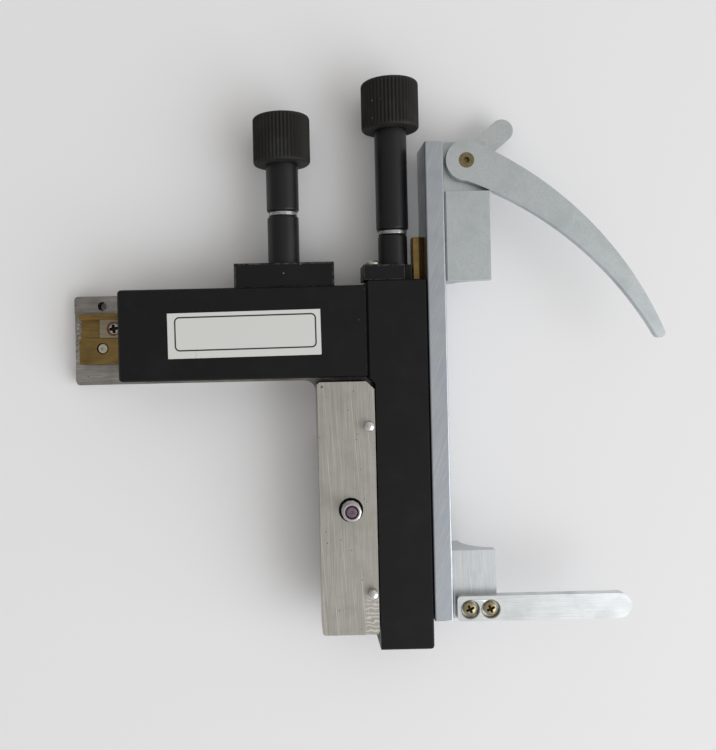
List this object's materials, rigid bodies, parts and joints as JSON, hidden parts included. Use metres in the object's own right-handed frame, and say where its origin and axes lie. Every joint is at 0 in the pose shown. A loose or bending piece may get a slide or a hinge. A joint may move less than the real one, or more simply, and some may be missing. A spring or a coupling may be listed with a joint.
{
  "type": "mechanical microscope stage",
  "caption": "Attachable X-Y mechanical stage with a clamping leg, black dovetail housings, knurled knobs, a slide bar and spring finger slide holder.",
  "frame": {"origin": "the clamp screw's axis at the mounting face of the leg", "axes": "+Z out of the mounting face, +X along the arm towards the slide bar, +Y along the slide bar towards the knobs"},
  "size_m": [0.1232, 0.1173, 0.0155],
  "materials": {
    "milled_alloy": "raw milled and filed light alloy",
    "bar_alloy": "satin ground alloy with fine diagonal marks",
    "satin_alloy": "satin brushed",
    "plated_steel": "bright brushed plating",
    "steel": "turned, plated",
    "nickel_silver": "dull machined nickel silver",
    "brass": "dull machined brass",
    "screw_brass": "yellow passivated screw",
    "bronze": "dark bronze",
    "black_alloy": "black anodised, satin, fine edge wear",
    "black_steel": "blackened",
    "knob_black": "black anodised knurl with dust",
    "label_paper": "white film label, bare, thin black border",
    "spring_steel": "spring wire"
  },
  "bodies": {
    "base": {"base_frame": "milled_alloy", "locating_pins": "steel", "captive_ring": "black_steel", "carriage_rail": "brass", "carriage_rack": "nickel_silver", "rack_screw": "steel", "rail_screws": "steel"},
    "clamp_washer": {"clamp_washer": "steel"},
    "clamp_screw": {"clamp_stud": "steel", "clamp_knob": "knob_black"},
    "carriage": {"carriage_housing": "black_alloy", "label": "label_paper", "pinion_block": "black_alloy", "pinion_block_screws": "black_steel", "carriage_sleeve": "black_alloy", "bar_housing": "black_alloy", "housing_screws": "black_steel", "bearing_plate": "black_alloy", "bearing_plate_screw": "steel", "bar_sleeve": "black_alloy", "bar_vernier": "satin_alloy"},
    "carriage_knob": {"pinion_shaft": "steel", "drive_pinion": "brass", "carriage_collar": "steel", "carriage_skirt": "black_alloy", "carriage_knob": "knob_black"},
    "bar_knob": {"lead_screw": "steel", "bar_collar": "steel", "bar_skirt": "black_alloy", "bar_knob": "knob_black"},
    "slide_bar": {"slide_bar": "bar_alloy", "guide_strip": "brass", "strip_screws": "steel", "drive_nut": "brass", "bar_scale": "satin_alloy", "pivot_arm": "satin_alloy", "fixed_arm": "satin_alloy", "arm_screws": "black_steel", "fixed_finger": "plated_steel", "finger_screws": "screw_brass", "finger_spring": "spring_steel"},
    "curved_finger": {"curved_finger": "satin_alloy", "pivot_pin": "bronze", "thumb_lever": "satin_alloy", "pivot_nut": "screw_brass"}
  },
  "joints": [
    {"name": "carriage_slide", "type": "slide", "parent": "base", "child": "carriage", "axis": [1, 0, 0], "range_m": [0, 0.026]},
    {"name": "carriage_knob_turn", "type": "hinge", "parent": "carriage", "child": "carriage_knob", "pos_m": [-0.01255, 0.07, -0.0055], "axis": [0, 1, 0], "range_deg": [-5, 600]},
    {"name": "bar_slide", "type": "slide", "parent": "carriage", "child": "slide_bar", "axis": [0, 1, 0], "range_m": [-0.022, 0.022]},
    {"name": "bar_knob_turn", "type": "hinge", "parent": "carriage", "child": "bar_knob", "pos_m": [0.0104, 0.07, -0.0055], "axis": [0, 1, 0], "range_deg": [-1090, 1000]},
    {"name": "finger_swing", "type": "hinge", "parent": "slide_bar", "child": "curved_finger", "pos_m": [0.0252, 0.0708, -0.001], "axis": [0, 0, 1], "range_deg": [0, 40], "stiffness_Nm_per_rad": 0.02, "springref_deg": -28.65},
    {"name": "clamp_feed", "type": "slide", "parent": "base", "child": "clamp_washer", "axis": [0, 0, 1], "range_m": [-0.0036, 0.0013]},
    {"name": "clamp_turn", "type": "hinge", "parent": "clamp_washer", "child": "clamp_screw", "pos_m": [0, 0, -0.009], "axis": [0, 0, 1], "continuous": true}
  ],
  "couplings": [
    {"joint": "carriage_knob_turn", "follows": "carriage_slide", "rad_per_m": 400},
    {"joint": "bar_knob_turn", "follows": "bar_slide", "rad_per_m": -785.4}
  ]
}
